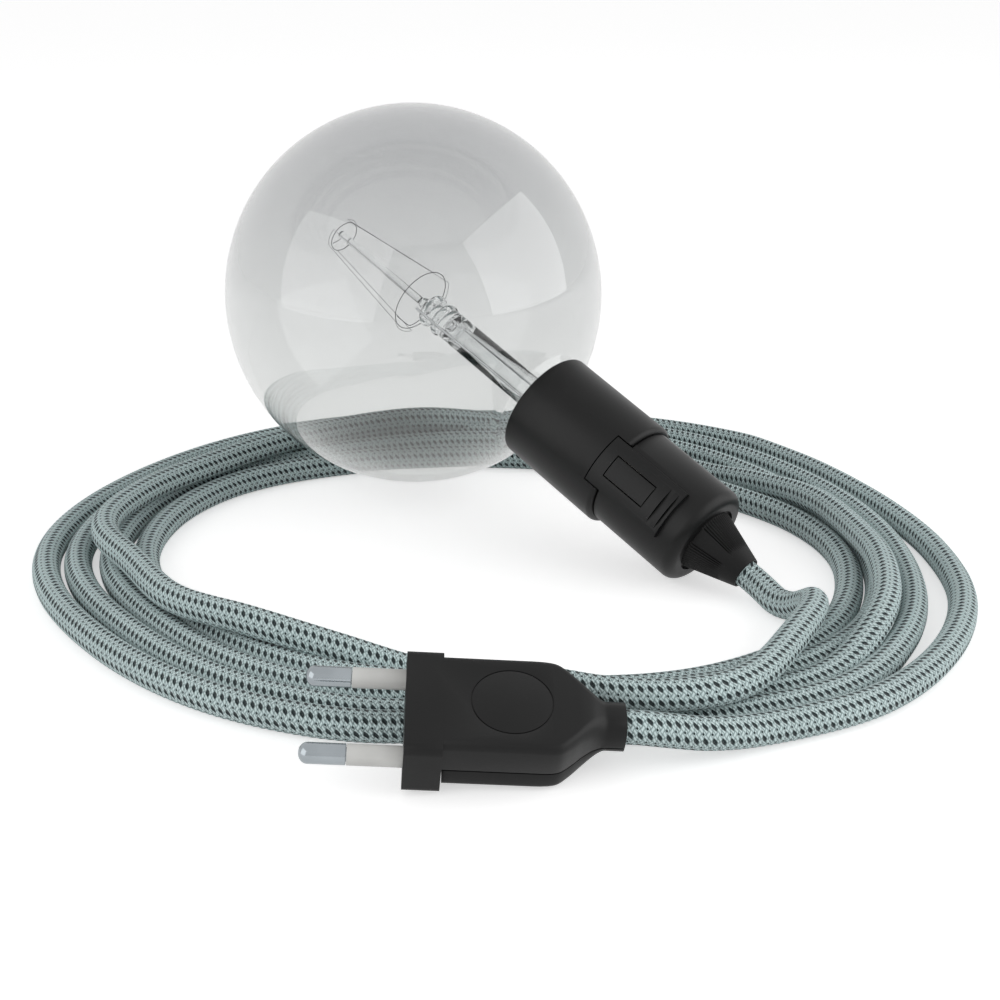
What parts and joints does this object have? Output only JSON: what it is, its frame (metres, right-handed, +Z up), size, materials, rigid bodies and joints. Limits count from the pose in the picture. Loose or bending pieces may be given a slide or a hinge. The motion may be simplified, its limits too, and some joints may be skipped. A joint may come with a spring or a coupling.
{
  "type": "pendant cord set",
  "caption": "Pendant cord set with a clear globe bulb in a black screw holder, a loosely coiled braided cord and a flat plug with round pins.",
  "frame": {"origin": "on the floor under the middle of the lamp: the bulb and its holder without the cord and the plug", "axes": "+Z up from the floor the set lies on, +X to the right and +Y away from the viewer in the picture's view"},
  "size_m": [0.2255, 0.224, 0.1049],
  "materials": {
    "clear_glass": "polished",
    "black_plastic": "satin",
    "dark_rubber": "matte",
    "ceramic": "matte",
    "nickel": "polished",
    "brass": "satin",
    "steel": "satin",
    "black_glass": "polished",
    "sleeve_plastic": "satin, slightly milky",
    "cord_fabric": "braided, with dark flecks",
    "cord_sheath": "satin",
    "brown_core": "satin",
    "blue_core": "satin"
  },
  "bodies": {
    "root": {"bulb_globe": "clear_glass", "bulb_stem": "clear_glass", "bulb_rod": "clear_glass", "small_hoop": "steel", "big_hoop": "steel", "small_hoop_arm": "steel", "big_hoop_arm": "steel", "filament": "steel", "lead_wire_1": "steel", "lead_wire_2": "steel", "bulb_cap_shell": "nickel", "bulb_cap_bead": "black_glass", "bulb_cap_button": "nickel", "holder_skirt": "black_plastic", "holder_shell": "black_plastic", "holder_insert": "ceramic", "socket_shell": "brass", "centre_contact": "brass", "holder_terminal_1": "brass", "holder_terminal_2": "brass", "holder_terminal_screw_1": "steel", "holder_terminal_screw_2": "steel", "holder_core_1": "brown_core", "holder_core_2": "blue_core", "cord_grip_1": "black_plastic", "cord_grip_2": "black_plastic", "cord_grip_screw_1": "steel", "cord_grip_screw_2": "steel", "holder_sheath": "cord_sheath", "strain_relief": "dark_rubber", "plug_upper": "black_plastic", "plug_lower": "black_plastic", "plug_pin_1": "nickel", "plug_pin_2": "nickel", "pin_sleeve_1": "sleeve_plastic", "pin_sleeve_2": "sleeve_plastic", "plug_terminal_screw_1": "steel", "plug_terminal_screw_2": "steel", "plug_core_1": "brown_core", "plug_core_2": "blue_core", "clamp_screw_1": "steel", "clamp_screw_2": "steel", "clamp_bar": "brass", "plug_sheath": "cord_sheath", "housing_screw": "steel", "cord_lamp_lead": "cord_fabric", "cord_coil": "cord_fabric", "cord_plug_lead": "cord_fabric"}
  },
  "joints": []
}
